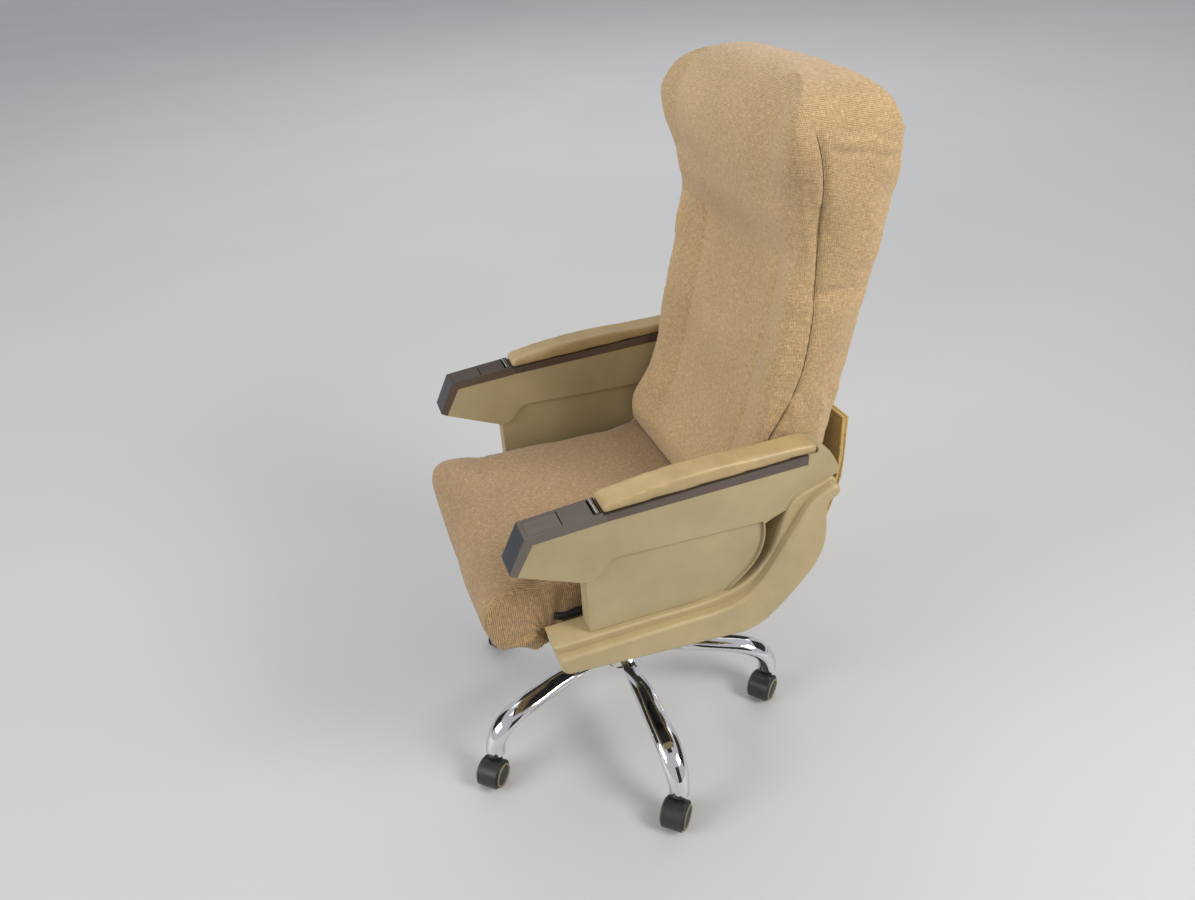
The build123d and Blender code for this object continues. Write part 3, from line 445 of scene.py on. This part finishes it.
# the centre panel lies between two bolsters, and fades into the head bulge
hollow = (1 - np.clip((side - 0.120) / 0.072, 0, 1)) * smoothstep(0.53, 0.60, z) * (1 - smoothstep(0.925, 1.012, z))
shift = 0.027 * hollow
shift += 0.0025 * np.exp(-((side - 0.121) / 0.006) ** 2) * smoothstep(0.53, 0.60, z) * (1 - smoothstep(0.93, 0.96, z))
# shallow valleys beside the head bulge, and its crease above the centre panel
shift += 0.007 * np.exp(-((side - 0.150) / 0.030) ** 2) * smoothstep(0.99, 1.05, z)
shift += 0.003 * np.exp(-((z - 0.985 + 0.25 * (side - 0.1)) / 0.026) ** 2) * smoothstep(0.10, 0.17, side)
shift -= 0.006 * np.exp(-(side / 0.11) ** 2) * smoothstep(1.02, 1.08, z) * (1 - smoothstep(1.12, 1.17, z))
co[:, 1] += shift * front
# the stitched seam between front and side, with gathers ahead of it
gap, along = line_distance(co[:, 1:3], SEAM[::3])
sideways = smoothstep(0.10, 0.5, np.abs(n[:, 0])) * smoothstep(0.150, 0.185, side)
ahead = smoothstep(0.0, 0.006, np.interp(co[:, 2], SEAM[::-1, 1], SEAM[::-1, 0]) - co[:, 1])
groove = 0.0045 * np.exp(-(gap / 0.0045) ** 2) * smoothstep(0.0, 0.05, along)
gathers = 0.0010 * np.sin(along * 2 * math.pi / 0.017 + 3.0 * np.sin(along * 23)) * np.exp(-gap / 0.016) * ahead
gathers *= smoothstep(0.05, 0.12, along) * (1 - smoothstep(0.42, 0.50, along))
# folds across the side: one long one near the head, and puckers by the armrest
fold_z = 1.119 - 0.22 * (co[:, 1] - 0.236) + 0.002 * np.sin(co[:, 1] * 90)
reaching = smoothstep(0.240, 0.262, co[:, 1]) * (1 - 0.6 * smoothstep(0.32, 0.37, co[:, 1]))
folds = 0.0028 * np.exp(-((co[:, 2] - fold_z) / 0.006) ** 2) * reaching
folds -= 0.0030 * np.exp(-((co[:, 2] - fold_z + 0.012) / 0.006) ** 2) * reaching
folds -= 0.0012 * np.exp(-((co[:, 2] - fold_z - 0.013) / 0.008) ** 2) * reaching
# puckers where the side is gathered in above the armrest
folds += 0.0022 * np.sin(co[:, 1] * 150 + co[:, 2] * 60) * np.exp(-((co[:, 2] - 0.735) / 0.028) ** 2) * smoothstep(0.20, 0.23, co[:, 1])
waves = ripples(co * np.array([1, 1, 2.2]), 11.0, 3.1)
co += n * ((-groove + gathers + folds) * sideways + 0.0016 * waves * (1 - hollow * 0.5) * smoothstep(0.6, 0.75, z))[:, None]
# between the arms the cushion keeps clear of them
low = 1 - smoothstep(0.700, 0.760, co[:, 2])
limit = 0.2195 + 0.004 * (1 - low)
co[:, 0] = np.clip(co[:, 0], -limit, limit)
put(back.data, co)
shade_smooth(back)
weave_map(back)
paint(back, MATERIALS["back_fabric"])
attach(back, "back")
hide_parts("back_cushion")

# ---------------------------------------------------------------- seat cushion
seat = cad_copy("seat_cushion", "seat_upholstery", 0.0062)
start = coordinates(seat.data)
resting = (1 - smoothstep(0.4632, 0.470, start[:, 2])) * smoothstep(-0.185, -0.172, start[:, 1])
# the back edge stays square under the back cushion, and so does the tuck behind the front's lower lip
resting = np.maximum(resting, smoothstep(0.05, 0.15, start[:, 1]))
resting = np.maximum(resting, smoothstep(-0.240, -0.205, start[:, 1]) * (1 - smoothstep(0.435, 0.450, start[:, 2])))
relax(seat, 26, 0.6)
rounded = coordinates(seat.data)
put(seat.data, rounded + (start - rounded) * resting[:, None])
put(seat.data, coordinates(seat.data) - normals(seat.data) * (0.003 * (1 - resting))[:, None])
inflate(seat, 3.0, 0.009, resting)
subdivide(seat)
co = coordinates(seat.data)
n = normals(seat.data)
x, y, z = co.T
crown = (1 - (np.abs(x) / 0.22) ** 2.5) * smoothstep(-0.28, -0.20, y) * (1 - smoothstep(0.05, 0.15, y))
co[:, 2] += 0.005 * crown * smoothstep(0.5, 0.9, n[:, 2])
# cover drawn in towards the pod's front end on each side
pull = np.stack([y + 0.186, z - 0.446], axis=1)
reach = np.linalg.norm(pull, axis=1)
fan = np.arctan2(pull[:, 1], -pull[:, 0])
creases = 0.0022 * np.sin(fan * 11) * np.exp(-((reach - 0.03) / 0.035) ** 2) * smoothstep(0.12, 0.19, np.abs(x))
waves = ripples(co, 10.0, 8.3)
co += n * (creases * smoothstep(0.2, 0.6, np.abs(n[:, 0])) + 0.0022 * waves * (n[:, 2] > -0.4))[:, None]
co[:, 0] = np.clip(co[:, 0], -0.2215, 0.2215)
floor_z = np.where(co[:, 1] > -0.176, 0.4624, 0.0)
co[:, 2] = np.maximum(co[:, 2], floor_z)
# outside the pan the cover's sides hang a little lower as far as the pods
flap = smoothstep(0.196, 0.208, np.abs(co[:, 0])) * (1 - smoothstep(0.4624, 0.490, co[:, 2]))
co[:, 2] -= 0.024 * flap * smoothstep(-0.205, -0.180, co[:, 1]) * (1 - smoothstep(-0.150, -0.090, co[:, 1]))
put(seat.data, co)
shade_smooth(seat)
weave_map(seat)
paint(seat, MATERIALS["seat_fabric"])
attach(seat, "seat")
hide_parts("seat_cushion")

# ---------------------------------------------------------------- armrest pads
STRIP_TOP = [(-0.096, 0.669), (0.221, 0.682)]
pad = cad_copy("armrest_pad_left", "armrest_left", 0.0030)
relax(pad, 6, 0.5)
inflate(pad, 3.0, 0.0010)
subdivide(pad)
co = coordinates(pad.data)
n = normals(pad.data)
underside = np.interp(co[:, 1], [p[0] for p in STRIP_TOP], [p[1] for p in STRIP_TOP]) + 0.0003
co += n * (0.0005 * ripples(co, 30.0, 5.5))[:, None]
co[:, 2] = np.maximum(co[:, 2], underside)
put(pad.data, co)
for side_name, sign in (("left", 1), ("right", -1)):
    if sign > 0:
        piece = pad
    else:
        mesh = pad.data.copy()
        mirrored = coordinates(mesh)
        mirrored[:, 0] *= -1
        put(mesh, mirrored)
        mesh.flip_normals()
        piece = link(bpy.data.objects.new("armrest_right", mesh))
    shade_smooth(piece)
    paint(piece, MATERIALS["pad_vinyl"])
    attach(piece, "seat")
    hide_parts(f"armrest_pad_{side_name}")

# ---------------------------------------------------------------- rear skirt with piping
skirt = cad_copy("rear_skirt", "skirt_panel", 0.0034)
relax(skirt, 5, 0.5)
subdivide(skirt)
co = coordinates(skirt.data)
co += normals(skirt.data) * (0.0012 * ripples(co, 22.0, 2.2))[:, None]
put(skirt.data, co)
shade_smooth(skirt)
weave_map(skirt)
paint(skirt, MATERIALS["skirt_fabric"])
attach(skirt, "back")
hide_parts("rear_skirt")


def tube(name, points, radius, material, body, closed=False):
    """A round cord along points."""
    curve = bpy.data.curves.new(name, "CURVE")
    curve.dimensions = "3D"
    curve.bevel_depth = radius
    curve.bevel_resolution = 3
    spline = curve.splines.new("POLY")
    spline.points.add(len(points) - 1)
    for target, point in zip(spline.points, points):
        target.co = (*point, 1)
    spline.use_cyclic_u = closed
    curve.use_fill_caps = True
    shape = bpy.data.objects.new(name + "_line", curve)
    link(shape)
    mesh = bpy.data.meshes.new_from_object(shape.evaluated_get(bpy.context.evaluated_depsgraph_get()))
    bpy.data.objects.remove(shape)
    piece = link(bpy.data.objects.new(name, mesh))
    shade_smooth(piece)
    weave_map(piece)
    paint(piece, material)
    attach(piece, body)
    return piece


SKIRT_EDGE = [(0.294, 0.492), (0.300, 0.505), (0.308, 0.530), (0.316, 0.558), (0.3205, 0.580), (0.322, 0.610),
              (0.322, 0.650), (0.322, 0.688)]
for offset_y, label in ((-0.0034, "inner"), (0.0034, "outer")):
    rail = [(0.2035, a + offset_y, b) for a, b in SKIRT_EDGE]
    path = rail + [(-p[0], p[1], p[2]) for p in reversed(rail)]
    tube(f"skirt_piping_{label}", path, 0.0024, MATERIALS["skirt_fabric"], "back")

# a thin dark line of painted shade sunk in each side seam of the back, standing for the shadow in the seam's groove
back_points = coordinates(back.data)
for label, sign in (("left", 1), ("right", -1)):
    flank = back_points[sign * back_points[:, 0] > 0.15]
    reach = [np.argsort(np.linalg.norm(flank[:, 1:3] - spot, axis=1))[:8] for spot in SEAM]
    stitch = np.array([(flank[near, 0].mean(), *spot) for near, spot in zip(reach, SEAM)])
    tube(f"back_seam_{label}", smooth_line(stitch[1:], 84, 6).tolist(), 0.0005, SEAM_PAINTED_SHADE, "back")

# ---------------------------------------------------------------- nose cap front faces
def rim_of(mesh, chosen):
    """The closed run of corner points around the chosen faces of a mesh."""
    work = bmesh.new()
    work.from_mesh(mesh)
    bmesh.ops.remove_doubles(work, verts=work.verts, dist=1e-5)
    rim = {}
    for edge in work.edges:
        if sum(chosen(face.normal) for face in edge.link_faces) == 1:
            a, b = edge.verts
            rim.setdefault(a, []).append(b)
            rim.setdefault(b, []).append(a)
    loops = []
    while rim:
        spot = next(iter(rim))
        run = []
        while spot in rim:
            run.append(tuple(spot.co))
            ahead = rim.pop(spot)
            spot = next((other for other in ahead if other in rim), None)
        loops.append(run)
    work.free()
    return max(loops, key=len)


def faces_forward(normal):
    return normal.y < -0.6


for side_name in ("left", "right"):
    cap = NODES[f"nose_cap_{side_name}"].data
    cap.materials.append(NOSE_FRONT)
    for polygon in cap.polygons:
        if faces_forward(polygon.normal):
            polygon.material_index = 1
    # painted highlight: a thin pale cord around each nose cap's front face, standing for the light caught on that edge
    tube(f"nose_edge_{side_name}", rim_of(cap, faces_forward), 0.0005, NOSE_EDGE_HIGHLIGHT, "seat", closed=True)

# ---------------------------------------------------------------- caster wheel faces
def turned(name, profile, centre, axis, material, body):
    """A ring or cap turned about a wheel's axle; profile is (radius, distance out from the caster's middle)."""
    work = bmesh.new()
    axis = Vector(axis).normalized()
    up = Vector((0, 0, 1))
    across = axis.cross(up)
    count = 40
    rings = []
    for step in range(count):
        angle = 2 * math.pi * step / count
        direction = across * math.cos(angle) + up * math.sin(angle)
        rings.append([work.verts.new(Vector(centre) + direction * r + axis * h) for r, h in profile])
    for a, b in zip(rings, rings[1:] + rings[:1]):
        for i in range(len(profile) - 1):
            work.faces.new((a[i], b[i], b[i + 1], a[i + 1]))
    bmesh.ops.remove_doubles(work, verts=work.verts, dist=1e-6)
    bmesh.ops.recalc_face_normals(work, faces=work.faces)
    mesh = bpy.data.meshes.new(name)
    work.to_mesh(mesh)
    work.free()
    piece = link(bpy.data.objects.new(name, mesh))
    shade_smooth(piece)
    paint(piece, material)
    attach(piece, body)
    return piece


OUTER = 23.1
RING = [(22.4, OUTER - 1.4), (21.8, OUTER + 0.15), (19.2, OUTER + 0.35), (18.4, OUTER - 1.2), (18.4, OUTER - 2.2),
        (22.4, OUTER - 2.2), (22.4, OUTER - 1.4)]
for joint in frame["joints"]:
    if not joint["name"].startswith("wheel_"):
        continue
    sign = 1 if "left" in joint["name"] else -1
    outward = [sign * value for value in joint["axis"]]
    profile = [(r * MM, h * MM) for r, h in RING]
    turned(joint["child"] + "_ring", profile, joint["pos_m"], outward, RING_OLIVE, joint["child"])

# ---------------------------------------------------------------- floor, light, camera
floor_graph = Graph("studio_floor", roughness=0.55)
floor_graph.colour(floor_graph.ramp(floor_graph.noise(0.8, 2), (0.3, (0.525, 0.528, 0.528)), (0.7, (0.55, 0.552, 0.552))))
bpy.ops.mesh.primitive_plane_add(size=60)
floor = bpy.context.object
floor.name = "studio_floor"
paint(floor, floor_graph.material)

world = bpy.data.worlds.new("studio")
SCENE.world = world
world.use_nodes = True
world.node_tree.nodes["Background"].inputs["Color"].default_value = (0.93, 0.95, 1.0, 1)
world.node_tree.nodes["Background"].inputs["Strength"].default_value = 0.55


def area_light(name, position, target, size, power, colour):
    light = bpy.data.lights.new(name, "AREA")
    light.shape = "RECTANGLE"
    light.size, light.size_y = size
    light.energy = power
    light.color = colour
    lamp = link(bpy.data.objects.new(name, light))
    lamp.location = position
    lamp.rotation_euler = (Vector(target) - Vector(position)).to_track_quat("-Z", "Y").to_euler()


area_light("key", (2.0, 1.7, 2.4), (0, 0.1, 0.6), (1.2, 1.2), 70, (1.0, 0.95, 0.88))
area_light("fill", (0.4, -5.0, 3.0), (0, 0.1, 0.8), (3.0, 2.2), 160, (1.0, 0.97, 0.93))
area_light("backdrop", (-5.5, 2.2, 5.0), (-7.0, 2.5, 0), (7.0, 7.0), 170, (1.0, 0.99, 0.98))
area_light("overhead", (-0.6, -0.4, 3.6), (0, 0, 0.3), (2.6, 1.2), 8, (0.95, 0.97, 1.0))

# dark cards out of the camera's sight, which only the polished metal mirrors
card_graph = Graph("dark_card", roughness=0.8)
card_graph.colour(card_graph.ramp(card_graph.noise(2.0, 2), (0.3, (0.012, 0.009, 0.007)), (0.7, (0.035, 0.026, 0.02))))
for number, (place, size) in enumerate((
    ((-3.0, 1.2, 2.2), (4.4, 2.4)), ((-2.0, -2.6, 1.4), (2.4, 2.4)), ((0.4, 3.4, 1.6), (3.6, 2.2)),
    ((3.2, 0.2, 1.1), (1.4, 2.2)), ((0.0, -0.2, 3.3), (2.4, 1.6)),
)):
    bpy.ops.mesh.primitive_plane_add(size=1)
    card = bpy.context.object
    card.name = f"dark_card_{number}"
    card.scale = (*size, 1)
    card.location = place
    card.rotation_euler = (Vector((0, 0, 0.3)) - Vector(place)).to_track_quat("Z", "Y").to_euler()
    card.visible_diffuse = card.visible_shadow = card.visible_camera = False
    paint(card, card_graph.material)

CAMERA_AT = (1.20530, -0.39925, 1.39804)
AZIMUTH, ELEVATION, ROLL = (math.radians(a) for a in (72.466, 32.255, -3.718))
PHOTO_WIDTH, FOCAL_PX, SENSOR = 1195, 885.67, 36.0
forward = -Vector((
    math.sin(AZIMUTH) * math.cos(ELEVATION), -math.cos(AZIMUTH) * math.cos(ELEVATION), math.sin(ELEVATION)
))
right = forward.cross(Vector((0, 0, 1))).normalized()
up = right.cross(forward)
right_rolled = right * math.cos(ROLL) + up * math.sin(ROLL)
up_rolled = -right * math.sin(ROLL) + up * math.cos(ROLL)
lens = bpy.data.cameras.new("camera")
lens.sensor_width = SENSOR
lens.lens = FOCAL_PX * SENSOR / PHOTO_WIDTH
lens.clip_end = 100
camera = link(bpy.data.objects.new("camera", lens))
camera.matrix_world = Matrix.Translation(CAMERA_AT) @ Matrix((right_rolled, up_rolled, -forward)).transposed().to_4x4()
SCENE.camera = camera
SCENE.view_settings.view_transform = "Standard"
